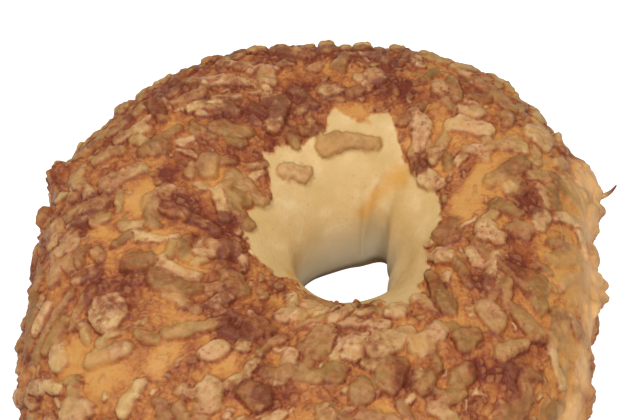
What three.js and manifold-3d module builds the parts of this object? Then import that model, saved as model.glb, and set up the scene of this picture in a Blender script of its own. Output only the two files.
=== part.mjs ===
// A cheese-topped bagel: a fat ring of bread with a small hole, and shreds of melted cheese baked on to it.
// Millimetres, +Z up. The bagel lies on its flat underside, with the origin under the middle of the ring.
import * as THREE from "three";
import { mergeVertices } from "three/addons/utils/BufferGeometryUtils.js";
import Module from "manifold-3d";

// The ring of bread.
const HALF_WIDTH = 55; // half the ring's width, along X
const HALF_DEPTH = 56; // half the ring's depth, along Y
const SQUARENESS = 2.3; // exponent of the outline: 2 is an ellipse, more is squarer
const LEAN = 0.049; // how much longer the outline is along its long diagonal
const LEAN_ANGLE = THREE.MathUtils.degToRad(67); // direction of that diagonal
const HEIGHT = 35.4; // from the table to the crest
const EQUATOR = 0.46 * HEIGHT; // height of the widest level
const UNDERSIDE_SAG = 1.12; // the lower half would reach below the table by this factor, so it is cut flat
const LUMP = 0.6; // how far the hand-rolled dough swells and dips

// The hole, off the middle of the ring.
const HOLE_X = 7.5;
const HOLE_Y = 0.85;
const HOLE_RADIUS = 8.2;
const CREASE_ANGLE = THREE.MathUtils.degToRad(59); // where the rolled ends of the dough meet
const CREASE_WIDTH = THREE.MathUtils.degToRad(10);
const CREASE_DEPTH = 2.4;

// The grid of the bread's surface.
const STEPS_ROUND_RING = 54;
const STEPS_ROUND_SECTION = 20;

// The shreds of cheese.
const THICKNESS = 1.5; // how far a shred stands proud of the crust
const KNOB_THICKNESS = 2.6; // the same for cheese that has melted into knobs at the edge
const ROOT = 0.9; // how deep a shred is sunk in the crust

// Shreds that stand out. Each row has the angle round the ring, the turn round its section and
// the heading from the ring's direction towards the hole, in degrees, then the length and width.
const LARGE_SHREDS = [
  // far side, from the left to the right
  [131, 95, -62, 9, 3.9], [130, 70, -23, 8, 3], [128, 81, -45, 10, 3.5], [117, 73, -42, 11.5, 3.4],
  [123, 124, -35, 7, 3.8], [107, 75, 60, 7, 4.2], [107, 42, 0, 4.5, 3.8], [90, 89, 0, 5.5, 3.4],
  [88, 46, 0, 3.4, 3.2], [86, 115, 0, 13.5, 3.9], [82, 90, 20, 5, 3.2], [80, 46, 0, 4.2, 3.6],
  [77, 80, 0, 5.2, 4.6], [71, 46, 0, 4, 3.4], [65, 50, 0, 11, 4], [58, 80, 120, 5, 3.2],
  [55, 75, 120, 7.5, 3.4], [55, 106, 113, 8.2, 4.2], [45, 60, 0, 12, 3.5], [43, 88, 40, 12, 3.8],
  // right side
  [29, 56, 20, 7.5, 5.5], [20, 85, 109, 11, 4.2], [-3, 119, 20, 6.2, 4.8], [-3, 82, 80, 5.5, 3.8],
  [-6, 95, 55, 6.2, 3.9], [-18, 118, 80, 5.6, 4], [-19, 77, 82, 9.8, 4.4], [-26, 51, 10, 8.2, 4.6],
  [-31, 69, 75, 8.6, 3.8], [-36, 85, 75, 7, 4.4], [-43, 103, 70, 5.6, 4.4], [-47, 86, 0, 6, 4.2],
  [-55, 75, 0, 6, 4.2], [-58, 95, 10, 9, 4.4], [-63, 116, 60, 5, 4.6], [-63, 82, 43, 7.5, 3],
  // near side
  [-69, 100, 10, 10, 5], [-73, 88, 45, 7.5, 5], [-82, 84, 90, 5.8, 4.2], [-84, 101, 80, 6.2, 5],
  [-89, 91, 0, 5, 4.6], [-98, 106, 75, 8.5, 5.5], [-100, 90, 0, 9.8, 3.3], [-117, 115, 50, 4.8, 4.6],
  [-118, 76, -57, 8, 3.8], [-122, 104, 60, 6, 4.8], [-126, 90, 80, 7, 3.8], [-135, 92, 64, 12.5, 3.3],
  // left side
  [209, 44, 0, 6, 4], [206, 70, 0, 8.2, 7.2], [201, 44, -50, 14.5, 2.3], [182, 51, 0, 6.8, 4.8],
  [176, 39, 10, 6.8, 4.6], [172, 57, -72, 10, 3.6], [162, 70, -51, 10.5, 3.6], [160, 41, 0, 4.6, 4.2],
  [154, 57, -60, 7.5, 3], [153, 116, 82, 10, 3.5], [151, 76, -50, 6.6, 3.4], [147, 61, -40, 8.5, 3],
];

// Knobs of melted cheese along the edge, in rows of the same kind.
const KNOBS = [
  [167, 20, 0, 4.4, 3.2], [19, 27, 0, 8, 4.2], [13, 20, 0, 5, 4], [4, 18, 0, 5, 3.4],
  [-2, 18, 0, 4, 3], [-7, 19, 0, 5, 3.6], [-11, 20, 0, 3.6, 3],
];

// The other shreds are scattered between these, the largest first.
const SCATTERED = 72;
const LONGEST = 11;
const SHORTEST = 6;
const WIDTH = 3.7;
const SPACING = 4.2; // least distance between the middle lines of two shreds
const LOWEST_TURN = -14; // how far down the outer side they reach, in degrees
const BARE_TURN = 122; // past this turn the bread's wall round the hole is bare
const BARE_SHIFT = 5; // how much later that is on the right and sooner on the left
const BARE_MARGIN = 4; // how far the middles of the shreds keep from the bare bread
const SEED = 20;

// The strip along the right edge where the cheese has run smooth, without shreds.
const SMOOTH_ANGLE = THREE.MathUtils.degToRad(-12); // its middle
const SMOOTH_REACH = THREE.MathUtils.degToRad(22); // how far it goes to both sides of that
const SMOOTH_TURN = THREE.MathUtils.degToRad(45); // and how far up

const TAU = 2 * Math.PI;

// A repeatable row of random numbers from 0 to 1.
function randomNumbers(seed) {
  let state = seed >>> 0;
  return () => {
    state = (Math.imul(state, 1664525) + 1013904223) >>> 0;
    return state / 4294967296;
  };
}

function powerOf(value, exponent) {
  return Math.sign(value) * Math.pow(Math.abs(value), exponent);
}

// Distance from the origin to the outer edge of the ring.
function outlineRadius(angle) {
  const x = Math.abs(Math.cos(angle) / HALF_WIDTH);
  const y = Math.abs(Math.sin(angle) / HALF_DEPTH);
  const plain = Math.pow(x ** SQUARENESS + y ** SQUARENESS, -1 / SQUARENESS);
  return plain * (1 + LEAN * Math.cos(2 * (angle - LEAN_ANGLE)));
}

// Distance from the hole's axis to its wall, with the crease where the dough's ends meet.
function holeRadius(angle) {
  const turn = Math.atan2(Math.sin(angle - CREASE_ANGLE), Math.cos(angle - CREASE_ANGLE));
  const crease = CREASE_DEPTH * Math.exp(-((turn / CREASE_WIDTH) ** 2));
  return HOLE_RADIUS * (1 + 0.03 * Math.cos(2 * angle - 1)) + crease;
}

// Swells and dips of the dough, in millimetres along the surface's normal.
function lumpHeight(angle, turn) {
  const long = Math.sin(3 * angle + 0.8) * Math.cos(turn - 1.1);
  const short = Math.sin(5 * angle - 1.9) * Math.sin(2 * turn + 0.6);
  return LUMP * (0.6 * long + 0.4 * short);
}

// A point of the bread's surface: angle runs round the ring, turn runs round its section,
// from the outer edge at 0 over the crest at a quarter to the hole's wall at a half.
function breadPoint(angle, turn) {
  const outer = outlineRadius(angle);
  const hole = holeRadius(angle);
  const outside = new THREE.Vector2(outer * Math.cos(angle), outer * Math.sin(angle));
  const inside = new THREE.Vector2(HOLE_X + hole * Math.cos(angle), HOLE_Y + hole * Math.sin(angle));
  const middle = outside.clone().add(inside).multiplyScalar(0.5);
  const half = outside.clone().sub(inside).multiplyScalar(0.5);
  const swell = lumpHeight(angle, turn);
  const across = powerOf(Math.cos(turn), 0.9) * (1 + swell / half.length());
  const rise = Math.sin(turn);
  const upper = (HEIGHT - EQUATOR + swell) * Math.pow(Math.abs(rise), 0.95);
  const lower = EQUATOR * UNDERSIDE_SAG * Math.pow(Math.abs(rise), 0.9);
  const height = Math.max(0, rise > 0 ? EQUATOR + upper : EQUATOR - lower);
  return new THREE.Vector3(middle.x + half.x * across, middle.y + half.y * across, height);
}

// The surface's directions there: round the ring, round the section, and out of the bread.
function breadFrame(angle, turn) {
  const step = 0.01;
  const along = breadPoint(angle + step, turn).sub(breadPoint(angle - step, turn)).divideScalar(2 * step);
  const up = breadPoint(angle, turn + step).sub(breadPoint(angle, turn - step)).divideScalar(2 * step);
  const out = new THREE.Vector3().crossVectors(along, up).normalize();
  return { along, up, out };
}

// A closed grid: each row is a ring of points, and rows join into a ring or end in two caps.
function gridGeometry(rows, rowsClose) {
  const width = rows[0].length;
  const index = [];
  const pairs = rowsClose ? rows.length : rows.length - 1;
  for (let i = 0; i < pairs; i++) {
    for (let j = 0; j < width; j++) {
      const a = i * width + j;
      const b = i * width + ((j + 1) % width);
      const c = ((i + 1) % rows.length) * width + j;
      const d = ((i + 1) % rows.length) * width + ((j + 1) % width);
      index.push(a, c, b, b, c, d);
    }
  }
  if (!rowsClose) {
    const last = (rows.length - 1) * width;
    for (let j = 1; j < width - 1; j++) {
      index.push(0, j, j + 1);
      index.push(last, last + j + 1, last + j);
    }
  }
  const geometry = new THREE.BufferGeometry().setFromPoints(rows.flat());
  geometry.setIndex(index);
  return geometry;
}

function breadGeometry() {
  const rows = [];
  for (let i = 0; i < STEPS_ROUND_RING; i++) {
    const angle = (i / STEPS_ROUND_RING) * TAU;
    const row = [];
    for (let j = 0; j < STEPS_ROUND_SECTION; j++) {
      row.push(breadPoint(angle, (j / STEPS_ROUND_SECTION) * TAU));
    }
    rows.push(row);
  }
  return gridGeometry(rows, true);
}

function isSmooth(angle, turn) {
  return Math.cos(angle - SMOOTH_ANGLE) > Math.cos(SMOOTH_REACH) && turn < SMOOTH_TURN;
}

// The points of the bread under a shred's middle line, with the surface's directions at each.
function stationsOf(shred, shares) {
  const { along, up } = breadFrame(shred.angle, shred.turn);
  return shares.map((share) => {
    const reach = share * shred.length;
    const angle = shred.angle + (reach * Math.cos(shred.heading)) / along.length();
    const turn = shred.turn + (reach * Math.sin(shred.heading)) / up.length();
    const here = breadFrame(angle, turn);
    const forward = here.along.normalize().multiplyScalar(Math.cos(shred.heading));
    forward.addScaledVector(here.up.normalize(), Math.sin(shred.heading));
    const side = new THREE.Vector3().crossVectors(here.out, forward).normalize();
    return { foot: breadPoint(angle, turn), side, out: here.out };
  });
}

function shredOf(row, thickness) {
  const [angle, turn, heading] = row.slice(0, 3).map(THREE.MathUtils.degToRad);
  return { angle, turn, heading, length: row[3], width: row[4], thickness };
}

// Whether a shred's middle line keeps its distance from those of the others.
function isClear(shred, others) {
  const shares = [-0.36, 0, 0.36];
  const line = stationsOf(shred, shares);
  return others.every((other) =>
    stationsOf(other, shares).every((there) =>
      line.every((here) => here.foot.distanceTo(there.foot) > SPACING),
    ),
  );
}

// Shreds scattered evenly over the crust, clear of those that are already there.
function scatterShreds(others) {
  const random = randomNumbers(SEED);
  const shreds = [...others];
  const wanted = others.length + SCATTERED;
  while (shreds.length < wanted) {
    const angle = random() * TAU;
    const highest = BARE_TURN + BARE_SHIFT * Math.cos(angle) - BARE_MARGIN;
    const turn = THREE.MathUtils.degToRad(THREE.MathUtils.lerp(LOWEST_TURN, highest, random()));
    const heading = (random() - 0.5) * Math.PI;
    const [long, wide, thick] = [random(), random(), random()];
    const { along, up } = breadFrame(angle, turn);
    const share = (shreds.length - others.length) / SCATTERED;
    const shred = {
      angle,
      turn,
      heading,
      length: THREE.MathUtils.lerp(LONGEST, SHORTEST, share) * (0.85 + 0.3 * long),
      width: WIDTH * (0.8 + 0.4 * wide),
      thickness: THICKNESS * (0.75 + 0.5 * thick),
    };
    const evenness = (along.length() * up.length()) / (HALF_DEPTH * HEIGHT);
    if (random() < evenness && !isSmooth(angle, turn) && isClear(shred, shreds)) shreds.push(shred);
  }
  return shreds;
}

// One shred: a flat bar with bevelled shoulders that follows the crust, sunk in it by its root.
function shredGeometry(shred) {
  const shares = [-0.5, -0.28, 0.28, 0.5];
  const rows = stationsOf(shred, shares).map(({ foot, side, out }, i) => {
    const isEnd = i === 0 || i === shares.length - 1;
    const half = (shred.width / 2) * (isEnd ? 0.62 : 1);
    const top = shred.thickness * (isEnd ? 0.7 : 1);
    const profile = [
      [-half * 1.15, -ROOT],
      [-half * 0.66, top],
      [half * 0.66, top],
      [half * 1.15, -ROOT],
    ];
    return profile.map(([across, height]) =>
      foot.clone().addScaledVector(side, across).addScaledVector(out, height),
    );
  });
  return gridGeometry(rows, false);
}

const wasm = await Module();
wasm.setup();

function solidOf(geometry) {
  const merged = mergeVertices(geometry, 1e-4);
  return new wasm.Manifold(
    new wasm.Mesh({
      numProp: 3,
      vertProperties: new Float32Array(merged.attributes.position.array),
      triVerts: new Uint32Array(merged.index.array),
    }),
  );
}

function geometryOf(solid) {
  const mesh = solid.getMesh();
  const geometry = new THREE.BufferGeometry();
  geometry.setAttribute("position", new THREE.BufferAttribute(mesh.vertProperties, 3));
  geometry.setIndex(new THREE.BufferAttribute(mesh.triVerts, 1));
  geometry.computeVertexNormals();
  return geometry;
}

// The bread and its shreds as one body. A gap that the shreds seal becomes solid.
function bagelGeometry() {
  const large = LARGE_SHREDS.map((row) => shredOf(row, THICKNESS));
  const knobs = KNOBS.map((row) => shredOf(row, KNOB_THICKNESS));
  let bagel = solidOf(breadGeometry());
  for (const shred of scatterShreds([...large, ...knobs])) {
    bagel = bagel.add(solidOf(shredGeometry(shred)));
  }
  const bodies = bagel.decompose().sort((a, b) => b.volume() - a.volume());
  return geometryOf(bodies[0]);
}

const bakedCheese = new THREE.MeshStandardMaterial({ color: 0xb98455, roughness: 0.6, metalness: 0 });
const bagel = new THREE.Mesh(bagelGeometry(), bakedCheese);
bagel.name = "bagel";

const group = new THREE.Group();
group.add(bagel);

export default group;
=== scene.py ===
import itertools
import math

import bpy
import numpy as np
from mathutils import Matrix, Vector


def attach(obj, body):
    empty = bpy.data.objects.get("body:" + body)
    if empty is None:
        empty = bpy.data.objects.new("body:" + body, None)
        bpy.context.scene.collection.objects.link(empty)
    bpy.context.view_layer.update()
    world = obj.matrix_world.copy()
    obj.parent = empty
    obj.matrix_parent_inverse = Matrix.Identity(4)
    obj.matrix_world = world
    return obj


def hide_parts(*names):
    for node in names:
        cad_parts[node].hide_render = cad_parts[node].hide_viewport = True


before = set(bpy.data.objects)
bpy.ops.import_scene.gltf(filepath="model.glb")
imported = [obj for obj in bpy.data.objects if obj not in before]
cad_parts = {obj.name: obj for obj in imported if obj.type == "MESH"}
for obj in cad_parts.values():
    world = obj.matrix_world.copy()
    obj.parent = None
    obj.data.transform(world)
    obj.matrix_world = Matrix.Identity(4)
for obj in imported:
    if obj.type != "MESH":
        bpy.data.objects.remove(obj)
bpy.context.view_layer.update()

# A whole bagel with cheese baked on to it. Its crust, the cheese on it and the bare bread round
# the hole are one surface, in pieces. Places on it are an angle round the ring, from the right
# and towards the far side, and a turn round its section: 0 at the outer edge, 90 degrees at the
# crest, 180 at the hole's wall and 270 underneath.

# The bread's form, in millimetres, as in the solid: a ring with a small hole off its middle.
HALF_WIDTH = 55.0
HALF_DEPTH = 56.0
SQUARENESS = 2.3
LEAN = 0.049
LEAN_ANGLE = math.radians(67)
HEIGHT = 35.4
EQUATOR = 0.46 * HEIGHT
UNDERSIDE_SAG = 1.12
LUMP = 0.6
HOLE_X = 7.5
HOLE_Y = 0.85
HOLE_RADIUS = 8.2
CREASE_ANGLE = math.radians(59)
CREASE_WIDTH = math.radians(10)
CREASE_DEPTH = 2.4

# The shreds of cheese, as in the solid.
THICKNESS = 1.5
KNOB_THICKNESS = 2.6
ROOT = 0.9

# Shreds that stand out. Each row has the angle round the ring, the turn round its section and
# the heading from the ring's direction towards the hole, in degrees, then the length and width.
LARGE_SHREDS = [
    # far side, from the left to the right
    [131, 95, -62, 9, 3.9], [130, 70, -23, 8, 3], [128, 81, -45, 10, 3.5], [117, 73, -42, 11.5, 3.4],
    [123, 124, -35, 7, 3.8], [107, 75, 60, 7, 4.2], [107, 42, 0, 4.5, 3.8], [90, 89, 0, 5.5, 3.4],
    [88, 46, 0, 3.4, 3.2], [86, 115, 0, 13.5, 3.9], [82, 90, 20, 5, 3.2], [80, 46, 0, 4.2, 3.6],
    [77, 80, 0, 5.2, 4.6], [71, 46, 0, 4, 3.4], [65, 50, 0, 11, 4], [58, 80, 120, 5, 3.2],
    [55, 75, 120, 7.5, 3.4], [55, 106, 113, 8.2, 4.2], [45, 60, 0, 12, 3.5], [43, 88, 40, 12, 3.8],
    # right side
    [29, 56, 20, 7.5, 5.5], [20, 85, 109, 11, 4.2], [-3, 119, 20, 6.2, 4.8], [-3, 82, 80, 5.5, 3.8],
    [-6, 95, 55, 6.2, 3.9], [-18, 118, 80, 5.6, 4], [-19, 77, 82, 9.8, 4.4], [-26, 51, 10, 8.2, 4.6],
    [-31, 69, 75, 8.6, 3.8], [-36, 85, 75, 7, 4.4], [-43, 103, 70, 5.6, 4.4], [-47, 86, 0, 6, 4.2],
    [-55, 75, 0, 6, 4.2], [-58, 95, 10, 9, 4.4], [-63, 116, 60, 5, 4.6], [-63, 82, 43, 7.5, 3],
    # near side
    [-69, 100, 10, 10, 5], [-73, 88, 45, 7.5, 5], [-82, 84, 90, 5.8, 4.2], [-84, 101, 80, 6.2, 5],
    [-89, 91, 0, 5, 4.6], [-98, 106, 75, 8.5, 5.5], [-100, 90, 0, 9.8, 3.3], [-117, 115, 50, 4.8, 4.6],
    [-118, 76, -57, 8, 3.8], [-122, 104, 60, 6, 4.8], [-126, 90, 80, 7, 3.8], [-135, 92, 64, 12.5, 3.3],
    # left side
    [209, 44, 0, 6, 4], [206, 70, 0, 8.2, 7.2], [201, 44, -50, 14.5, 2.3], [182, 51, 0, 6.8, 4.8],
    [176, 39, 10, 6.8, 4.6], [172, 57, -72, 10, 3.6], [162, 70, -51, 10.5, 3.6], [160, 41, 0, 4.6, 4.2],
    [154, 57, -60, 7.5, 3], [153, 116, 82, 10, 3.5], [151, 76, -50, 6.6, 3.4], [147, 61, -40, 8.5, 3],
]

# Knobs of melted cheese along the edge, in rows of the same kind.
KNOBS = [
    [167, 20, 0, 4.4, 3.2], [19, 27, 0, 8, 4.2], [13, 20, 0, 5, 4], [4, 18, 0, 5, 3.4],
    [-2, 18, 0, 4, 3], [-7, 19, 0, 5, 3.6], [-11, 20, 0, 3.6, 3],
]

# The solid's other shreds, scattered by the same rule.
SCATTERED = 72
LONGEST = 11
SHORTEST = 6
WIDTH = 3.7
SPACING = 4.2
LOWEST_TURN = -14
BARE_TURN = 122
BARE_SHIFT = 5
BARE_MARGIN = 4
SEED = 20
SMOOTH_ANGLE = math.radians(-12)
SMOOTH_REACH = math.radians(22)
SMOOTH_TURN = math.radians(45)

# Pieces that are too small for the solid fill the gaps. The lengths go from the first to the last.
BITS = 400
BIT_SPACING = 2.0
BIT_LENGTHS = (9.5, 3.6)
CRUMBS = 500
CRUMB_SPACING = 1.2
CRUMB_LENGTHS = (2.6, 1.2)
TRIES = 12000

# Small lumps that show along the top of the far edge, in rows like the shreds'.
NUBS = [
    [114, 42, 20, 4.2, 3.4], [104, 45, 0, 4.4, 3.6], [98, 51, 0, 3.2, 2.8], [88, 43, 0, 3.4, 3],
    [84, 51, 0, 3, 2.8], [80, 43, 0, 3.8, 3.2], [72, 43, 0, 3.6, 3], [65, 44, 10, 4.6, 3.4],
]
NUB_HEIGHT = 1.7

# Where the cheese ends round the hole: the turn at every 10 degrees of the ring's angle.
COVER_EDGE = [
    130, 123, 120, 121, 122, 127, 121, 98, 108, 98, 109, 117, 113, 112, 122, 127, 124, 119,
    123, 124, 127, 130, 146, 145, 143, 141, 140, 138, 134, 128, 118, 121, 124, 127, 131, 131,
]

# Patches of the crust, each with the angle, the turn and the radius in millimetres: where the
# film of cheese has browned darkest, and where the smooth golden crust shows through it.
DARK_PATCHES = [
    [172, 97, 4.4], [178, 111, 2.8], [197, 113, 2.3], [160, 86, 2.6], [198, 80, 3.4], [74, 88, 3],
    [284, 124, 1.6], [246, 84, 3.4], [254, 80, 3], [7, 76, 3.2], [332, 96, 3], [315, 62, 3.2],
    [112, 92, 2.8], [101, 88, 2.6], [28, 101, 1.8], [345, 84, 2.6], [310, 74, 2.6], [46, 118, 2.2],
    [230, 100, 2.4], [66, 84, 2.4], [290, 84, 2.6], [324, 112, 2.2],
]
GOLDEN_PATCHES = [
    [218, 59, 5.5], [211, 52, 4.2], [172, 79, 3.8], [183, 67, 4.2], [183, 88, 3.2], [155, 102, 3.6],
    [82, 101, 3.6], [226, 78, 3.2], [239, 88, 3], [228, 60, 4.2], [190, 92, 3.4], [200, 98, 4.6],
    [350, 38, 9], [12, 34, 6], [332, 36, 6], [22, 96, 4], [296, 100, 3.4], [10, 108, 3.4],
]

# Where the right edge is smooth and pale, in rows of the same kind.
PALE_PATCHES = [[20, 22, 6], [9, 20, 7], [357, 22, 7], [345, 22, 6], [334, 20, 5], [325, 14, 5]]

# An orange streak of cheese that ran down the hole's wall, as a line of such patches, and a
# yellow spot across from it.
STREAK = [
    [53, 130, 2.2], [57, 131, 2.3], [59, 134, 2.3], [62, 137, 2.1], [65, 141, 2.0], [68, 145, 1.9],
    [71, 149, 1.8], [75, 153, 1.6], [206, 146, 1.3],
]

# Cheese that melted into bulges and teeth at the outer edge. Each row has the angle and the turn
# in degrees, how far it reaches along each of them, and its height in millimetres.
BULGES = [
    [23.6, 17, 3.0, 14, 2.8], [17, 9, 5, 14, 1.9], [-1.5, 5, 2.8, 12, 2.0], [-17, -2, 5, 14, -0.7],
    [-30, 0, 7, 18, 1.9], [50, 36, 6, 12, 1.0], [147, 22, 5, 14, 0.6], [156.5, 18, 3.0, 14, 3.9],
    [164, 14, 5, 14, 0.5], [185, 15, 9, 14, -1.6], [206, 1, 7, 16, 1.3],
]
TEETH = [
    [25.2, 19, 1.0, 8, 1.3], [20.0, 13, 1.6, 9, 2.3], [16.5, 7, 1.3, 8, 1.4], [12, 7, 1.0, 7, 0.9],
    [7, 7, 0.8, 7, 0.9], [3.5, 4, 0.9, 7, 1.0], [-0.5, 4, 0.8, 7, 1.2], [-4, 2, 1.0, 8, 1.5],
    [-8.5, -2, 1.0, 7, 0.5], [-11, -4, 0.8, 7, 1.2], [-20, 8, 1.2, 7, 0.8], [-27, 5, 1.4, 7, 0.9],
    [154.5, 20, 0.9, 9, 1.5], [170, 12, 1.2, 8, 0.8],
]

# Folds down the hole's wall, and where the low part of that wall stands further back than in the
# solid. Each row has the angle and the width in degrees, and the depth in millimetres. The bands
# are the turns, in degrees, between which each of them starts, is full, fades and ends.
FOLDS = [[75, 5.0, 0.6], [66, 4.0, 0.5]]
FOLD_BAND = (128, 142, 180, 200)
FLARES = [[198, 34, 3.3], [62, 30, 1.2], [-4, 24, -1.7]]
FLARE_BAND = (148, 178, 225, 268)

# The same for the far outer edge, in radians, where the cheese is thin and yellow.
FAR_EDGE_BAND = (0.35, 0.6, 0.85, 1.05)

TAU = 2 * math.pi
MM = 0.001


# ---------------------------------------------------------------- random numbers and noise

def random_numbers(seed):
    """The repeatable row of numbers from 0 to 1 that the solid's shreds are scattered by."""
    state = seed
    while True:
        state = (state * 1664525 + 1013904223) % 4294967296
        yield state / 4294967296


def scrambled(corner, seed):
    """A number from 0 to 1 for each corner of a grid in space."""
    mixed = (corner[..., 0] * 73856093) ^ (corner[..., 1] * 19349663) ^ (corner[..., 2] * 83492791)
    mixed = mixed ^ (seed * 40503 + 977)
    mixed = (mixed ^ (mixed >> 13)) * 1274126177 & 0x7FFFFFFF
    return ((mixed ^ (mixed >> 15)) & 0xFFFF) / 65535


def noise(points, size, seed=0, layers=1):
    """Smooth noise from 0 to 1 with lumps of that size in millimetres, and finer ones on top."""
    total = 0
    most = 0
    for layer in range(layers):
        cell = np.asarray(points, float) / size * 2 ** layer
        corner = np.floor(cell).astype(np.int64)
        part = cell - corner
        part = part * part * (3 - 2 * part)
        share = 0.55 ** layer
        most += share
        for step in itertools.product((0, 1), repeat=3):
            step = np.array(step)
            weight = np.prod(np.where(step == 1, part, 1 - part), axis=-1)
            total = total + share * weight * scrambled(corner + step, seed + layer)
    return total / most


def chunks(points, size, seed):
    """Irregular chunks of about that size: how far inside one a point is, and its own number."""
    warp = np.stack([noise(points, 1.3 * size, seed + 5 + k, 2) for k in range(3)], -1)
    cell = points / size + 1.1 * warp
    corner = np.floor(cell).astype(np.int64)
    first = np.full(cell.shape[:-1], 9.0)
    second = np.full(cell.shape[:-1], 9.0)
    number = np.zeros(cell.shape[:-1])
    for step in itertools.product((-1, 0, 1), repeat=3):
        other = corner + np.array(step)
        jitter = np.stack([scrambled(other, seed + k) for k in range(3)], -1)
        far = np.linalg.norm(other + jitter - cell, axis=-1)
        second = np.minimum(second, np.maximum(first, far))
        number = np.where(far < first, scrambled(other, seed + 3), number)
        first = np.minimum(first, far)
    return smooth_step(0.02, 0.36, second - first), number


def smooth_step(low, high, value):
    share = np.clip((value - low) / (high - low), 0, 1)
    return share * share * (3 - 2 * share)


def band(value, start, full, fade, end):
    """1 between two levels, fading to 0 on both sides."""
    return smooth_step(start, full, value) * smooth_step(end, fade, value)


# ---------------------------------------------------------------- the bread's surface

def power_of(value, exponent):
    return np.sign(value) * np.abs(value) ** exponent


def outline_radius(angle):
    x = np.abs(np.cos(angle) / HALF_WIDTH)
    y = np.abs(np.sin(angle) / HALF_DEPTH)
    plain = (x ** SQUARENESS + y ** SQUARENESS) ** (-1 / SQUARENESS)
    return plain * (1 + LEAN * np.cos(2 * (angle - LEAN_ANGLE)))


def hole_radius(angle):
    turn = np.arctan2(np.sin(angle - CREASE_ANGLE), np.cos(angle - CREASE_ANGLE))
    crease = CREASE_DEPTH * np.exp(-((turn / CREASE_WIDTH) ** 2))
    return HOLE_RADIUS * (1 + 0.03 * np.cos(2 * angle - 1)) + crease


def lump_height(angle, turn):
    long = np.sin(3 * angle + 0.8) * np.cos(turn - 1.1)
    short = np.sin(5 * angle - 1.9) * np.sin(2 * turn + 0.6)
    return LUMP * (0.6 * long + 0.4 * short)


def bread_point(angle, turn):
    """Points of the bread in millimetres: angle runs round the ring and turn round its section."""
    angle, turn = np.broadcast_arrays(np.asarray(angle, float), np.asarray(turn, float))
    way = np.stack([np.cos(angle), np.sin(angle)], -1)
    outside = outline_radius(angle)[..., None] * way
    inside = np.array([HOLE_X, HOLE_Y]) + hole_radius(angle)[..., None] * way
    middle = (outside + inside) / 2
    half = (outside - inside) / 2
    swell = lump_height(angle, turn)
    across = power_of(np.cos(turn), 0.9) * (1 + swell / np.linalg.norm(half, axis=-1))
    rise = np.sin(turn)
    upper = (HEIGHT - EQUATOR + swell) * np.abs(rise) ** 0.95
    lower = EQUATOR * UNDERSIDE_SAG * np.abs(rise) ** 0.9
    height = np.maximum(0, np.where(rise > 0, EQUATOR + upper, EQUATOR - lower))
    return np.concatenate([middle + half * across[..., None], height[..., None]], -1)


def unit(vectors):
    return vectors / np.maximum(np.linalg.norm(vectors, axis=-1, keepdims=True), 1e-9)


def bread_frame(angle, turn):
    """The surface's directions: round the ring, round the section, and out of the bread."""
    step = 0.01
    along = (bread_point(angle + step, turn) - bread_point(angle - step, turn)) / (2 * step)
    up = (bread_point(angle, turn + step) - bread_point(angle, turn - step)) / (2 * step)
    return along, up, unit(np.cross(along, up))


def fading(degrees, middle, width):
    """1 at the middle, fading to 0 past the width on both sides."""
    return np.exp(-(((degrees - middle + 180) % 360 - 180) / width) ** 2)


def swellings(angle, turn, rows):
    """The total height of bulges, each given by its place, its reach and its height."""
    total = 0
    for middle, level, width, band, height in rows:
        total = total + height * fading(angle, middle, width) * fading(turn, level, band)
    return total


def ridges(angle, rows):
    """The total height of ridges that run round the section, each with its own width."""
    return sum(height * fading(angle, middle, width) for middle, width, height in rows)


def surface(angle, turn):
    """The bread's points with its bulges, folds and flares, and the way out of the bread there."""
    points = bread_point(angle, turn)
    _, _, out = bread_frame(angle, turn)
    place = np.degrees(angle)
    level = np.degrees(turn) % 360
    swell = swellings(place, level, BULGES) * (0.5 + noise(points, 2.8, 91, 2))
    swell = swell + swellings(place, level, TEETH)
    swell = swell - band(level, *FOLD_BAND) * ridges(place, FOLDS)
    swell = swell - band(level, *FLARE_BAND) * ridges(place, FLARES)
    return points + out * swell[..., None], out


# ---------------------------------------------------------------- where the shreds lie

class Shred:
    """One shred: where it lies on the bread, which way it heads and how large it is."""

    def __init__(self, angle, turn, heading, length, width, thickness):
        self.angle = angle
        self.turn = turn
        self.heading = heading
        self.length = length
        self.width = width
        self.thickness = thickness
        along, up, _ = bread_frame(angle, turn)
        self.along = np.linalg.norm(along)
        self.up = np.linalg.norm(up)
        self.line = bread_point(*self.place(np.array([-0.36, 0, 0.36]) * length, 0))

    def place(self, reach, aside):
        """The angle and turn of a point that far along the shred and to its side."""
        cos, sin = math.cos(self.heading), math.sin(self.heading)
        angle = self.angle + (reach * cos - aside * sin) / self.along
        turn = self.turn + (reach * sin + aside * cos) / self.up
        return angle, turn

    def offset(self, angle, turn):
        """How far a place on the bread is along the shred, and to its side."""
        cos, sin = math.cos(self.heading), math.sin(self.heading)
        ringwise = ((angle - self.angle + math.pi) % TAU - math.pi) * self.along
        upward = (turn - self.turn) * self.up
        return ringwise * cos + upward * sin, upward * cos - ringwise * sin


def from_row(row, thickness):
    angle, turn, heading = (math.radians(value) for value in row[:3])
    return Shred(angle, turn, heading, row[3], row[4], thickness)


def is_smooth(angle, turn):
    return math.cos(angle - SMOOTH_ANGLE) > math.cos(SMOOTH_REACH) and turn < SMOOTH_TURN


def is_clear(shred, lines):
    gaps = np.linalg.norm(shred.line[:, None, :] - lines[None, :, :], axis=-1)
    return gaps.min() > SPACING


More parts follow.
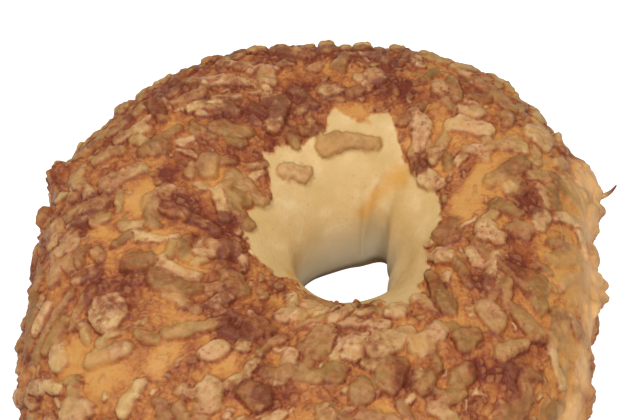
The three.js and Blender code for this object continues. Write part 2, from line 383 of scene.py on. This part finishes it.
def scattered(others):
    """The solid's scattered shreds, the largest first, each clear of the others."""
    random = random_numbers(SEED)
    shreds = []
    lines = np.concatenate([other.line for other in others])
    while len(shreds) < SCATTERED:
        angle = next(random) * TAU
        highest = BARE_TURN + BARE_SHIFT * math.cos(angle) - BARE_MARGIN
        turn = math.radians(LOWEST_TURN + (highest - LOWEST_TURN) * next(random))
        heading = (next(random) - 0.5) * math.pi
        long, wide, thick = next(random), next(random), next(random)
        share = len(shreds) / SCATTERED
        length = (LONGEST + (SHORTEST - LONGEST) * share) * (0.85 + 0.3 * long)
        width = WIDTH * (0.8 + 0.4 * wide)
        shred = Shred(angle, turn, heading, length, width, THICKNESS * (0.75 + 0.5 * thick))
        evenness = shred.along * shred.up / (HALF_DEPTH * HEIGHT)
        if next(random) < evenness and not is_smooth(angle, turn) and is_clear(shred, lines):
            shreds.append(shred)
            lines = np.concatenate([lines, shred.line])
    return shreds


def cover_edge(angle):
    """The turn, in radians, at which the cheese ends above the hole."""
    degrees = np.degrees(angle) % 360
    edge_browning_and_shade = np.array(COVER_EDGE + COVER_EDGE[:1], float)
    return np.radians(np.interp(degrees, np.arange(0, 361, 10), edge_browning_and_shade))


def as_spots(rows):
    """Round patches, each as a place on the bread and a radius."""
    return [(from_row([angle, turn, 0, 1, 1], 1), radius) for angle, turn, radius in rows]


DARK_SPOTS = as_spots(DARK_PATCHES)
GOLDEN_SPOTS = as_spots(GOLDEN_PATCHES)
PALE_SPOTS = as_spots(PALE_PATCHES)
STREAK_SPOTS = as_spots(STREAK)


def patches(angle, turn, spots):
    """1 in the middle of the patches, fading to 0 past their radius."""
    total = np.zeros(np.broadcast(angle, turn).shape)
    for place, radius in spots:
        far = np.hypot(*place.offset(angle, turn)) / radius
        total = np.maximum(total, np.exp(-far ** 2))
    return total


def fillers(others, count, spacing, sizes, random):
    """Smaller pieces between the others, the largest first. They may touch and overlap."""
    angle = random.uniform(0, TAU, TRIES)
    turn = np.radians(random.uniform(LOWEST_TURN - 4, 148, TRIES))
    along, up, _ = bread_frame(angle, turn)
    area = np.linalg.norm(along, axis=-1) * np.linalg.norm(up, axis=-1) / (HALF_DEPTH * HEIGHT)
    smooth = np.maximum(patches(angle, turn, GOLDEN_SPOTS), 1.2 * patches(angle, turn, PALE_SPOTS))
    wanted = random.uniform(0, 1, TRIES) < area * (1 - 0.8 * smooth)
    wanted &= turn < cover_edge(angle) - 0.02
    centres = bread_point(angle, turn)
    lines = np.concatenate([other.line for other in others])
    shreds = []
    for k in np.flatnonzero(wanted):
        if len(shreds) == count:
            break
        if np.linalg.norm(lines - centres[k], axis=1).min() < spacing:
            continue
        share = len(shreds) / count
        length = (sizes[0] + (sizes[1] - sizes[0]) * share) * random.uniform(0.8, 1.2)
        width = min(length * random.uniform(0.32, 0.62), WIDTH * random.uniform(0.55, 0.9))
        thickness = min(THICKNESS, width * 0.5) * random.uniform(0.7, 1.15)
        shred = Shred(angle[k], turn[k], random.uniform(0, math.pi), length, width, thickness)
        shreds.append(shred)
        lines = np.concatenate([lines, shred.line])
    return shreds


# ---------------------------------------------------------------- meshes and their attributes

def grid_faces(rows, columns, closed, offset=0):
    """Faces of rings of points that follow each other, and that may close on themselves."""
    row, column = np.meshgrid(np.arange(rows if closed else rows - 1), np.arange(columns), indexing="ij")
    after = (row + 1) % rows * columns
    beside = (column + 1) % columns
    corners = [row * columns + column, row * columns + beside, after + beside, after + column]
    return (np.stack(corners, -1).reshape(-1, 4) + offset).tolist()


def new_piece(name, points, faces, material, attributes, normals=None):
    mesh = bpy.data.meshes.new(name)
    mesh.from_pydata((np.asarray(points) * MM).tolist(), [], faces)
    for label, values in attributes.items():
        mesh.attributes.new(label, "FLOAT", "POINT").data.foreach_set("value", np.float32(values))
    mesh.polygons.foreach_set("use_smooth", [True] * len(mesh.polygons))
    if normals is not None:
        mesh.normals_split_custom_set_from_vertices(normals.tolist())
    mesh.materials.append(material)
    piece = bpy.data.objects.new(name, mesh)
    bpy.context.scene.collection.objects.link(piece)
    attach(piece, "root")
    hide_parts("bagel")
    return piece


class Tubes:
    """Closed tubes, each a row of rings of points, that become one piece."""

    def __init__(self):
        self.points = []
        self.faces = []
        self.values = {"rim": [], "tone": [], "film": [], "olive": []}
        self.count = 0

    def add(self, rings, **values):
        rows, sides = rings.shape[:2]
        self.faces += grid_faces(rows, sides, False, self.count)
        first = range(self.count, self.count + sides)
        self.faces.append(list(first)[::-1])
        self.faces.append([k + (rows - 1) * sides for k in first])
        self.points.append(rings.reshape(-1, 3))
        for label, value in values.items():
            self.values[label].append(np.broadcast_to(value, (rows, sides)).ravel())
        self.count += rows * sides

    def piece(self, name, material):
        points = np.concatenate(self.points)
        values = {label: np.concatenate(parts) for label, parts in self.values.items()}
        return new_piece(name, points, self.faces, material, values)


# ---------------------------------------------------------------- the bread and its crust

# In millimetres: the size of the film's crumbs, how far a shred's outline may stray from it, and
# the height below which the underside rests on the table.
CRUMB_SIZE = 1.6
STRAY = 2.5
ON_TABLE = 0.02

# The grid of points: steps round the ring, and the turns of each piece's rows.
RING_STEPS = 1200
CRUST_TURNS = {
    "crust_side": np.radians(np.linspace(-22, 35, 82, endpoint=False)),
    "crust_top": np.radians(np.linspace(35, 92, 82, endpoint=False)),
    "crust_inner": np.radians(np.linspace(92, 148, 82, endpoint=False)),
}
BREAD_TURNS = np.radians(np.concatenate([
    np.linspace(148, 225, 40, endpoint=False), np.linspace(225, 338, 18, endpoint=False),
]))


def film_field(points, angle, turn):
    """How browned the cheese is: 0 where it is golden, 1 where it is darkest."""
    film = 0.54 + 0.85 * (noise(points, 8, 11, 3) - 0.5) + 1.0 * (noise(points, 3, 17, 3) - 0.5)
    film = film + 0.5 * patches(angle, turn, DARK_SPOTS) - 0.44 * patches(angle, turn, GOLDEN_SPOTS)
    # Browner towards the far side, painted shade for a side that faces away from the light, and a little
    # lighter towards the right.
    film = film + 0.14 * smooth_step(0.5, 0.95, np.sin(angle)) - 0.07 * np.cos(angle)
    return np.clip(film, 0, 1)


def at_far_edge(angle, turn):
    """1 along the top of the far outer edge, where the cheese is thin and yellow."""
    return smooth_step(0.1, 0.5, np.cos(angle - 1.8)) * band(turn, *FAR_EDGE_BAND)


def cover_fields(points, angle, turn):
    """Where the cheese covers the bread, and where the plain underside begins."""
    degrees = np.degrees(turn)
    ragged = 9 * (noise(points, 5, 3, 3) - 0.5) + 7 * (noise(points, 1.6, 5, 2) - 0.5)
    cover = smooth_step(2.2, -2.2, degrees - np.degrees(cover_edge(angle)) + ragged)
    low = np.where(degrees > 200, degrees - 360, degrees)
    under = np.maximum(smooth_step(-8, -22, low + ragged * 0.6), smooth_step(218, 236, degrees))
    return cover * (1 - under), under


def edge_warp(points):
    """How far the shreds' outlines stray, along the shreds and to their side."""
    warp = [noise(points, 2.4, 43 + k, 2) - 0.5 for k in range(2)]
    return [1.5 * far + 0.5 * (noise(points, 0.8, 47 + k) - 0.5) for k, far in enumerate(warp)]


def window_round(shred, turns, angles):
    """The rows and columns of the grid that a shred may reach."""
    reach = shred.length / 2 + STRAY
    rows = np.flatnonzero(np.abs(turns - shred.turn) < reach / shred.up)
    turned = (angles - shred.angle + math.pi) % TAU - math.pi
    columns = np.flatnonzero(np.abs(turned) < reach / shred.along)
    return np.ix_(rows, columns)


def outline_gap(shred, along, aside, random):
    """How far each place lies outside the shred's outline, which bends and tapers a little."""
    share = along / shred.length * 2
    aside = aside + random.uniform(-0.1, 0.1) * shred.length * share ** 2
    half = shred.width / 2 * (1 + random.uniform(-0.3, 0.3) * np.clip(share, -1, 1))
    straight = max(shred.length - shred.width, 0) / 2
    return np.hypot(np.maximum(np.abs(along) - straight, 0), aside) - half


def relief(shreds, turns, angle, turn, warp, random):
    """The shreds as they lie melted on the bread, each over the ones before it: how high they are,
    where they are, where their edges are, and the tone of each."""
    height, body, edge_browning_and_shade, tone = (np.zeros(angle.shape) for _ in range(4))
    for shred in shreds:
        window = window_round(shred, turns, angle[0])
        along, aside = shred.offset(angle[window], turn[window])
        gap = outline_gap(shred, along + warp[0][window], aside + warp[1][window], random)
        soft = random.uniform(0.2, 0.6)
        here = smooth_step(soft, -soft, gap)
        flat = smooth_step(soft, -soft - 0.25, gap)
        domed = smooth_step(soft, -shred.width / 2, gap)
        top = shred.thickness * (0.75 * flat + 0.25 * domed)
        height[window] = np.maximum(height[window], top) + 0.3 * np.minimum(height[window], top)
        # A dark line round each outline: browned cheese at the edge, and painted shade where the shred
        # meets what lies under it.
        line = np.exp(-((gap - 0.1) / 0.42) ** 2) * (1.15 - 0.4 * soft)
        edge_browning_and_shade[window] = np.maximum(edge_browning_and_shade[window] * (1 - here), line)
        body[window] = np.maximum(body[window], here)
        tone[window] += (random.uniform(0, 1) - tone[window]) * here
    return height, body, edge_browning_and_shade, tone


def lumpy(points, coarse, fine):
    """How uneven melted cheese is, in millimetres, with lumps of two sizes."""
    return 0.75 * (noise(points, coarse, 51, 2) - 0.5) + 0.3 * (noise(points, fine, 53) - 0.5)


def crumb_fields(points, film, cover, body, pale):
    """How rough the film is between the shreds, where it has crumbs, and each crumb's number."""
    rough = smooth_step(0.22, 0.45, film) * cover * (1 - body) * (1 - 0.8 * pale)
    crumb, own = chunks(points, CRUMB_SIZE, 71)
    return rough, crumb * smooth_step(0.25, 0.35, own) * rough, own


def film_height(points, cover, rough, crumb, own):
    """How high the film and its crumbs stand, and how uneven the bare bread is."""
    film = cover * (0.12 + 0.4 * (noise(points, 4, 31, 2) - 0.5))
    grain = 0.15 * rough * (noise(points, 0.9, 37) - 0.5)
    bare = 0.14 * (1 - cover) * (noise(points, 3, 41, 3) - 0.5)
    return film + grain + bare + crumb * (0.15 + 0.4 * own)


def ring_fields(shreds):
    """The bread's points and normals, and how each point is covered, browned and shaded."""
    turns = np.concatenate([*CRUST_TURNS.values(), BREAD_TURNS])
    turn, angle = np.meshgrid(turns, np.arange(RING_STEPS) / RING_STEPS * TAU, indexing="ij")
    bread, out = surface(angle, turn)
    cover, plain = cover_fields(bread, angle, turn)
    random = np.random.RandomState(5)
    height, body, edge_browning_and_shade, tone = relief(shreds, turns, angle, turn, edge_warp(bread), random)

    film = film_field(bread, angle, turn) * (0.4 + 0.6 * cover)
    pale = patches(angle, turn, PALE_SPOTS)
    rough, crumb, own = crumb_fields(bread, film, cover, body, pale)
    lumps = lumpy(bread, 1.8, 0.8)
    lift = film_height(bread, cover, rough, crumb, own)
    lift = lift + (0.85 * height + body * lumps) * (1 - 0.7 * pale)
    lift = np.where(bread[..., 2] < ON_TABLE, 0, lift)
    points = bread + out * lift[..., None]
    points[..., 2] = np.maximum(points[..., 2], 0)
    normals = ring_normals(points)

    degrees = np.degrees(turn)
    # Painted shadow: the dark lines round the shreds are made stronger where the surface tilts towards
    # -y, on the shreds' near sides, where their shadows would fall.
    near_side_shadow = smooth_step(-0.1, 0.25, (out - normals)[..., 1])
    edge_browning_and_shade = edge_browning_and_shade * (0.4 + 0.6 * near_side_shadow) * (0.35 + 0.65 * cover) * (1 - 0.7 * pale)
    values = {
        "cover": cover, "film": film, "under": plain, "streak": patches(angle, turn, STREAK_SPOTS),
        # The tone follows the lumps, lighter on their tops and darker in their hollows: painted light
        # and shade.
        "body": body, "edge_browning_and_shade": edge_browning_and_shade, "tone": tone + 0.8 * lumps, "crumb": crumb,
        "olive": at_far_edge(angle, turn), "pale": pale,
        # Painted shade: the hole's low wall turns grey-beige, with a dark line along its foot.
        "shade": smooth_step(150, 185, degrees), "lip_shade": smooth_step(190, 200, degrees),
    }
    return points, normals, values


def ring_normals(points):
    """The normals of the whole ring, so that its pieces meet without a seam."""
    along = np.roll(points, -1, 1) - np.roll(points, 1, 1)
    up = np.roll(points, -1, 0) - np.roll(points, 1, 0)
    return unit(np.cross(along, up))


def build_ring(shreds, material):
    points, normals, values = ring_fields(shreds)
    first = 0
    parts = {name: (len(turns), "crust") for name, turns in CRUST_TURNS.items()}
    parts["bread"] = (len(BREAD_TURNS), "bread")
    for name, (rows, slot) in parts.items():
        pick = np.arange(first, first + rows + 1) % len(points)
        attributes = {label: value[pick].ravel() for label, value in values.items()}
        faces = grid_faces(rows + 1, RING_STEPS, False)
        part = points[pick].reshape(-1, 3)
        new_piece(name, part, faces, material, attributes, normals[pick].reshape(-1, 3))
        first += rows


# ---------------------------------------------------------------- lumps and a thread at the edge

STATIONS = 20
SIDES = 18


def nub_rings(shred, random):
    """A lump that has softened on to the crust: its rings of points, how dark its rim is (browned, with
    painted shade at its foot), how uneven it is, and where on the bread it lies."""
    share = np.sin(np.linspace(-math.pi / 2, math.pi / 2, STATIONS)) * 0.99
    around = np.arange(SIDES) / SIDES * TAU
    wide = power_of(np.cos(around), 0.92)[None, :]
    high = power_of(np.sin(around), 0.62)[None, :]
    key = random.uniform(0, 1000, 3)
    reach = share * shred.length / 2
    line = np.stack([reach, np.zeros(STATIONS), np.zeros(STATIONS)], -1) + key

    blunt = (1 - np.abs(share) ** 5) ** (1 / 2.2) * (1 + random.uniform(-0.25, 0.25) * share)
    left = blunt * (1 + 0.8 * (noise(line, 1.9, 1, 2) - 0.5))
    right = blunt * (1 + 0.8 * (noise(line + 50, 1.9, 1, 2) - 0.5))
    half = shred.width / 2 * np.where(wide > 0, right[:, None], left[:, None])
    aside = half * wide
    sway = random.uniform(-0.1, 0.1) * shred.length * (share ** 2 - 0.4)
    sway = sway + 0.8 * (noise(line, 3.2, 2) - 0.5)
    skew = random.uniform(-0.45, 0.45)
    top = shred.thickness * (1 - 0.35 * np.abs(share) ** 4) * (1 + 0.7 * (noise(line, 2.6, 3, 2) - 0.5))
    tilt = random.uniform(-0.22, 0.22)
    rise = (top[:, None] - ROOT) / 2 + (top[:, None] + ROOT) / 2 * high
    rise = rise + tilt * aside * smooth_step(0, shred.thickness, rise)

    forward_reach = reach[:, None] + skew * aside * np.abs(share[:, None]) ** 2
    angle, turn = shred.place(forward_reach, sway[:, None] + aside)
    foot, out = surface(angle, turn)
    rings = foot + out * rise[..., None]
    bump = lumpy(rings, 1.7, 0.85)
    rings = rings + out * (bump * smooth_step(-0.2, 0.6, rise))[..., None]
    # The rim darkens towards the lump's foot: browned cheese, and painted shade where it meets the
    # crust.
    rim = smooth_step(0.95, 0.45, rise / top[:, None]) * (0.6 + 0.7 * noise(rings, 4, 57))
    return rings, rim, bump, angle, turn


def wisp_rings():
    """A thin thread of burnt cheese that curls out of the right edge, and how far along it is."""
    share = np.linspace(0, 1, 14)
    foot, out = surface(math.radians(19.3), math.radians(12))
    line = foot + out * (3.6 * share - 0.7)[:, None]
    line = line + unit(np.array([0, 1.0, 1.0])) * (1.6 * share ** 3)[:, None]
    along = np.gradient(line, axis=0)
    side = unit(np.cross(along, [0.0, 1.0, 0.3]))
    other = unit(np.cross(along, side))
    around = np.arange(8) / 8 * TAU
    radius = 0.62 * (1 - share) ** 0.8 + 0.14
    ring = side[:, None] * np.cos(around)[None, :, None] + other[:, None] * np.sin(around)[None, :, None]
    return line[:, None] + ring * radius[:, None, None], share


def build_edge(material):
    """The lumps along the far edge, and the burnt thread at the right one."""
    tubes = Tubes()
    random = np.random.RandomState(9)
    for nub in (from_row(row, NUB_HEIGHT) for row in NUBS):
        rings, rim, bump, angle, turn = nub_rings(nub, random)
        # Lighter where the lump bulges and darker where it dips: painted light and shade.
        tone = np.clip(random.uniform(0.3, 0.9) + 0.9 * bump, 0, 1)
        film = 0.8 * film_field(rings, angle, turn)
        tubes.add(rings, rim=0.8 * rim, tone=tone, film=film, olive=0.9 * at_far_edge(angle, turn))
    rings, share = wisp_rings()
    film = (0.2 + 0.8 * share)[:, None]
    tubes.add(rings, rim=(share ** 1.5)[:, None], tone=0.7, film=film, olive=0.0)
    tubes.piece("cheese_edge", material)


# ---------------------------------------------------------------- materials

FILM_COLOURS = [
    (0.0, "#C6904F"), (0.22, "#C38845"), (0.42, "#B8783D"), (0.6, "#A35F32"), (0.8, "#8A4626"),
    (1.0, "#6C2E1D"),
]
KHAKI_COLOURS = [(0.0, "#876030"), (0.5, "#AC834E"), (1.0, "#CBA66F")]
PINK_COLOURS = [(0.0, "#8C5C35"), (0.5, "#B17E52"), (1.0, "#CA9C70")]
SKIN_COLOURS = [(0.3, "#C5A267"), (0.55, "#D0AD76"), (0.75, "#DBC08E")]
UNDERSIDE_COLOURS = [(0.25, "#A97640"), (0.75, "#C29558")]
GOLDEN = "#C29152"
OLIVE = "#AE8D4C"
CRUMB_COLOUR = "#AF7748"
PALE_EDGE = "#EAB679"
SPECK = "#A0703E"
STREAK_COLOUR = "#CC9444"
# Painted shade: a pale grey-beige for the hole's low wall, and a dark line along its foot by the table.
LOW_WALL_SHADE_COLOUR = "#D4C6A6"
LIP_SHADE_COLOUR = "#6F6249"


def node(tree, kind, **settings):
    made = tree.nodes.new(kind)
    for key, value in settings.items():
        setattr(made, key, value)
    return made


def attribute(tree, label):
    return node(tree, "ShaderNodeAttribute", attribute_name=label).outputs["Fac"]


def pattern(tree, size, detail=3.0, roughness=0.6):
    """Noise over the surface with lumps of that size in millimetres."""
    texture = node(tree, "ShaderNodeTexNoise")
    texture.inputs["Scale"].default_value = 1 / (size * MM)
    texture.inputs["Detail"].default_value = detail
    texture.inputs["Roughness"].default_value = roughness
    tree.links.new(node(tree, "ShaderNodeTexCoord").outputs["Object"], texture.inputs["Vector"])
    return texture.outputs["Fac"]


def connect(tree, sockets, values):
    for socket, value in zip(sockets, values):
        if isinstance(value, (int, float, list)):
            socket.default_value = value
        else:
            tree.links.new(value, socket)


def maths(tree, operation, *values, clamp=False):
    made = node(tree, "ShaderNodeMath", operation=operation, use_clamp=clamp)
    connect(tree, made.inputs, values)
    return made.outputs[0]


def nudged(tree, value, texture, strength):
    """The value moved up and down by a texture."""
    swing = maths(tree, "MULTIPLY", maths(tree, "SUBTRACT", texture, 0.5), strength)
    return maths(tree, "ADD", value, swing, clamp=True)


def ranged(tree, value, low, high, bottom=0.0, top=1.0):
    """The value stretched so that low becomes bottom and high becomes top."""
    made = node(tree, "ShaderNodeMapRange")
    connect(tree, made.inputs, (value, low, high, bottom, top))
    return made.outputs[0]


def linear(code):
    """A colour written as it looks on screen, as the light values that a shader reads."""
    parts = [int(code[k:k + 2], 16) / 255 for k in (1, 3, 5)]
    return [p / 12.92 if p <= 0.04045 else ((p + 0.055) / 1.055) ** 2.4 for p in parts] + [1]


def ramp(tree, value, stops):
    made = node(tree, "ShaderNodeValToRGB")
    elements = made.color_ramp.elements
    while len(elements) < len(stops):
        elements.new(0.5)
    for element, (position, code) in zip(elements, stops):
        element.position = position
        element.color = linear(code)
    tree.links.new(value, made.inputs["Fac"])
    return made.outputs["Color"]


def mixed(tree, share, first, second):
    made = node(tree, "ShaderNodeMix", data_type="RGBA")
    connect(tree, [socket for socket in made.inputs if socket.enabled], (share, first, second))
    return [socket for socket in made.outputs if socket.enabled][0]


def bumps(tree, height, distance):
    made = node(tree, "ShaderNodeBump")
    made.inputs["Distance"].default_value = distance * MM
    tree.links.new(height, made.inputs["Height"])
    return made.outputs["Normal"]


def new_material(name):
    material = bpy.data.materials.new(name)
    material.use_nodes = True
    tree = material.node_tree
    tree.nodes.clear()
    shader = node(tree, "ShaderNodeBsdfPrincipled")
    tree.links.new(shader.outputs[0], node(tree, "ShaderNodeOutputMaterial").inputs["Surface"])
    return material, tree, shader


def soften(shader, weight, specular):
    shader.inputs["Subsurface Weight"].default_value = weight
    shader.inputs["Subsurface Radius"].default_value = (1.0, 0.5, 0.25)
    shader.inputs["Subsurface Scale"].default_value = 0.0012
    shader.inputs["Specular IOR Level"].default_value = specular


def film_colour(tree, film):
    film = nudged(tree, film, pattern(tree, 1.5), 0.7)
    film = nudged(tree, film, pattern(tree, 0.55, 2.0), 0.45)
    return ramp(tree, film, FILM_COLOURS)


def skin_colour(tree):
    """Bare bread: pale, a little whiter in places, with a few specks and the orange streak, and greyer
    down the hole's low wall and dark along its foot, which is painted shade.
    """
    skin = ramp(tree, pattern(tree, 6, 4.0), SKIN_COLOURS)
    specks = ranged(tree, pattern(tree, 0.8, 1.0), 0.7, 0.78, 0.0, 0.35)
    skin = mixed(tree, specks, skin, linear(SPECK))
    streak = nudged(tree, attribute(tree, "streak"), pattern(tree, 1.8), 0.9)
    skin = mixed(tree, ranged(tree, streak, 0.2, 1.0, 0.0, 0.85), skin, linear(STREAK_COLOUR))
    # Painted shade down the hole's low wall, and a darker line along its foot.
    shade = maths(tree, "MULTIPLY", attribute(tree, "shade"), 0.8)
    skin = mixed(tree, shade, skin, linear(LOW_WALL_SHADE_COLOUR))
    lip_shade = maths(tree, "MULTIPLY", attribute(tree, "lip_shade"), 0.8)
    return mixed(tree, lip_shade, skin, linear(LIP_SHADE_COLOUR))


def cheese_colour(tree):
    """Tan cheese in a few tones, golden where it melted flat and as brown as the film in places."""
    film = attribute(tree, "film")
    tone = nudged(tree, attribute(tree, "tone"), pattern(tree, 2.2), 0.8)
    tone = nudged(tree, tone, pattern(tree, 0.7, 2.0), 0.5)
    khaki = ramp(tree, tone, KHAKI_COLOURS)
    pink = ramp(tree, tone, PINK_COLOURS)
    top = mixed(tree, ranged(tree, pattern(tree, 9, 2.0), 0.38, 0.6), khaki, pink)
    top = mixed(tree, ranged(tree, film, 0.4, 0.1, 0.0, 0.7), top, linear(GOLDEN))
    top = mixed(tree, maths(tree, "MULTIPLY", attribute(tree, "olive"), 0.5), top, linear(OLIVE))
    toast = ranged(tree, nudged(tree, film, pattern(tree, 1.3), 1.3), 0.45, 0.9, 0.0, 0.85)
    return mixed(tree, toast, top, film_colour(tree, film))


def layered_colour(tree):
    """The bare bread, the film of cheese over it with its crumbs, and the shreds on top."""
    film = film_colour(tree, attribute(tree, "film"))
    crumb = nudged(tree, attribute(tree, "crumb"), pattern(tree, 0.9), 0.5)
    film = mixed(tree, ranged(tree, crumb, 0.3, 0.8, 0.0, 0.4), film, linear(CRUMB_COLOUR))
    cover = nudged(tree, attribute(tree, "cover"), pattern(tree, 0.9), 0.9)
    colour = mixed(tree, ranged(tree, cover, 0.2, 0.85), skin_colour(tree), film)
    body = nudged(tree, attribute(tree, "body"), pattern(tree, 0.8), 0.8)
    return mixed(tree, ranged(tree, body, 0.3, 0.7), colour, cheese_colour(tree))


def with_dark_marks(tree, colour):
    """The colour with dark lines round the shreds, browning that also stands in for their shadows and is
    painted darker on their near sides, and with groups of browned specks.
    """
    deep = film_colour(tree, maths(tree, "ADD", attribute(tree, "film"), 0.3, clamp=True))
    # Browned lines that also stand in for the shreds' shadows: painted shade.
    edge_browning_and_shade = nudged(tree, attribute(tree, "edge_browning_and_shade"), pattern(tree, 1.6), 0.9)
    colour = mixed(tree, ranged(tree, edge_browning_and_shade, 0.35, 0.95, 0.0, 0.9), colour, deep)
    specks = ranged(tree, pattern(tree, 0.9, 2.0), 0.55, 0.64, 0.0, 0.65)
    specks = maths(tree, "MULTIPLY", specks, ranged(tree, pattern(tree, 4.5, 2.0), 0.45, 0.6))
    specks = maths(tree, "MULTIPLY", specks, attribute(tree, "cover"))
    return mixed(tree, specks, colour, deep)


def crust_material():
    """A browned film of cheese with shreds melted into it, and pale bare bread round the hole."""
    material, tree, shader = new_material("crust")
    colour = with_dark_marks(tree, layered_colour(tree))
    pale = nudged(tree, attribute(tree, "pale"), pattern(tree, 2.5), 0.9)
    colour = mixed(tree, ranged(tree, pale, 0.25, 0.95, 0.0, 0.8), colour, linear(PALE_EDGE))
    underside = ramp(tree, pattern(tree, 5, 5.0), UNDERSIDE_COLOURS)
    colour = mixed(tree, attribute(tree, "under"), colour, underside)
    tree.links.new(colour, shader.inputs["Base Color"])
    gloss = maths(tree, "MULTIPLY", attribute(tree, "cover"), -0.14)
    gloss = maths(tree, "ADD", gloss, 0.6)
    tree.links.new(nudged(tree, gloss, pattern(tree, 1.2), 0.3), shader.inputs["Roughness"])
    tree.links.new(bumps(tree, pattern(tree, 0.6, 3.0), 0.1), shader.inputs["Normal"])
    soften(shader, 0.12, 0.2)
    return material


def cheese_material():
    """Baked cheese: tan on top, and as brown as the film where it meets the crust, a browned foot that
    also stands in for the shade there.
    """
    material, tree, shader = new_material("cheese")
    deep = film_colour(tree, maths(tree, "ADD", attribute(tree, "film"), 0.35, clamp=True))
    # Along the lumps the rim is browning and painted shade at their foot; along the thread it is the
    # burnt end.
    rim = nudged(tree, attribute(tree, "rim"), pattern(tree, 1.1), 0.8)
    colour = mixed(tree, ranged(tree, rim, 0.3, 0.8), cheese_colour(tree), deep)
    tree.links.new(colour, shader.inputs["Base Color"])
    tree.links.new(ranged(tree, pattern(tree, 1.4), 0.3, 0.7, 0.34, 0.58), shader.inputs["Roughness"])
    tree.links.new(bumps(tree, pattern(tree, 0.5, 3.0), 0.1), shader.inputs["Normal"])
    soften(shader, 0.15, 0.25)
    return material


# ---------------------------------------------------------------- camera, floor and light

CAMERA_DISTANCE = 0.3
CAMERA_ELEVATION = math.radians(50.35)
CAMERA_TARGET = Vector((0.00045, 0.01825, 0.018))
FOCAL_LENGTH = 86.8


def add_camera():
    data = bpy.data.cameras.new("camera")
    data.lens = FOCAL_LENGTH
    data.sensor_width = 36
    data.clip_start = 0.01
    camera = bpy.data.objects.new("camera", data)
    back = Vector((0, -math.cos(CAMERA_ELEVATION), math.sin(CAMERA_ELEVATION)))
    camera.location = CAMERA_TARGET + back * CAMERA_DISTANCE
    camera.rotation_euler = (math.pi / 2 - CAMERA_ELEVATION, 0, 0)
    bpy.context.scene.collection.objects.link(camera)
    bpy.context.scene.camera = camera


def add_floor():
    """The pale floor that the camera sees, and a plain one that only bounces light."""
    for name, grey, glow, seen in (("floor", 0.42, 1.0, True), ("floor_bounce", 0.75, 0.0, False)):
        mesh = bpy.data.meshes.new(name)
        corners = [(-3, -3, 0), (3, -3, 0), (3, 3, 0), (-3, 3, 0)]
        mesh.from_pydata(corners, [], [(0, 1, 2, 3)])
        floor = bpy.data.objects.new(name, mesh)
        bpy.context.scene.collection.objects.link(floor)
        material, _, shader = new_material(name)
        shader.inputs["Base Color"].default_value = (grey, grey, grey, 1)
        shader.inputs["Roughness"].default_value = 0.9
        shader.inputs["Emission Color"].default_value = (1, 1, 1, 1)
        shader.inputs["Emission Strength"].default_value = glow
        mesh.materials.append(material)
        floor.visible_camera = seen
        floor.visible_diffuse = not seen
        floor.visible_glossy = not seen
        floor.visible_transmission = not seen
        floor.visible_shadow = False


def add_light(name, place, size, power):
    data = bpy.data.lights.new(name, "AREA")
    data.shape = "DISK"
    data.size = size
    data.energy = power
    light = bpy.data.objects.new(name, data)
    light.location = place
    towards = Vector((0, 0, 0.02)) - Vector(place)
    light.rotation_euler = towards.to_track_quat("-Z", "Y").to_euler()
    bpy.context.scene.collection.objects.link(light)


def add_lights():
    world = bpy.data.worlds.new("world")
    world.use_nodes = True
    world.node_tree.nodes["Background"].inputs["Color"].default_value = (1, 1, 1, 1)
    world.node_tree.nodes["Background"].inputs["Strength"].default_value = 0.36
    bpy.context.scene.world = world
    add_light("key", (-0.3, 0.1, 0.8), 0.25, 2.9)
    add_light("front", (0.14, -0.55, 0.78), 0.4, 5.2)
    bpy.context.scene.view_settings.view_transform = "Standard"


# ---------------------------------------------------------------- the whole bagel

shreds = [from_row(row, THICKNESS) for row in LARGE_SHREDS]
knobs = [from_row(row, KNOB_THICKNESS) for row in KNOBS]
shreds += scattered(shreds + knobs)
random = np.random.RandomState(SEED)
bits = fillers(shreds + knobs, BITS, BIT_SPACING, BIT_LENGTHS, random)
crumbs = fillers(shreds + knobs + bits, CRUMBS, CRUMB_SPACING, CRUMB_LENGTHS, random)

build_ring(crumbs + bits[::-1] + shreds[::-1] + knobs, crust_material())
build_edge(cheese_material())

add_camera()
add_floor()
add_lights()
